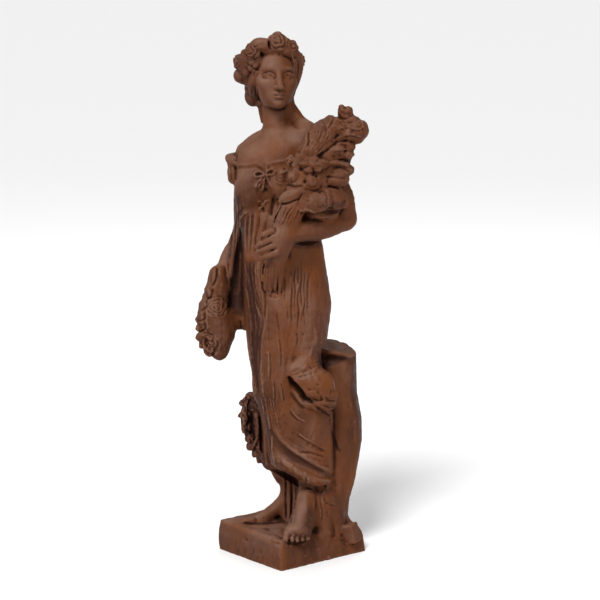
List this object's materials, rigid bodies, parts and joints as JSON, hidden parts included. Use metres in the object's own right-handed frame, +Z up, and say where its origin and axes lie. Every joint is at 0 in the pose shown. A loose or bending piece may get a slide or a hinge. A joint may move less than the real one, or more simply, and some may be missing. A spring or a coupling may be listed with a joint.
{
  "type": "garden statue",
  "caption": "Cast iron garden statue of a standing woman in a long gown with a rose wreath, a bouquet in one arm and a bunch of roses in the other hand, beside a tree stump on a low square base",
  "frame": {"origin": "middle of the base's flat underside, which stands on the ground", "axes": "+Z is up, along the figure; the base's sides are parallel to X and Y; the base's front side faces -Y and the stump stands towards +X and +Y"},
  "size_m": [0.2189, 0.2314, 0.8153],
  "materials": {
    "rusted_cast_iron": "rusted, satin where worn"
  },
  "bodies": {
    "root": {"statue": "rusted_cast_iron"}
  },
  "joints": []
}
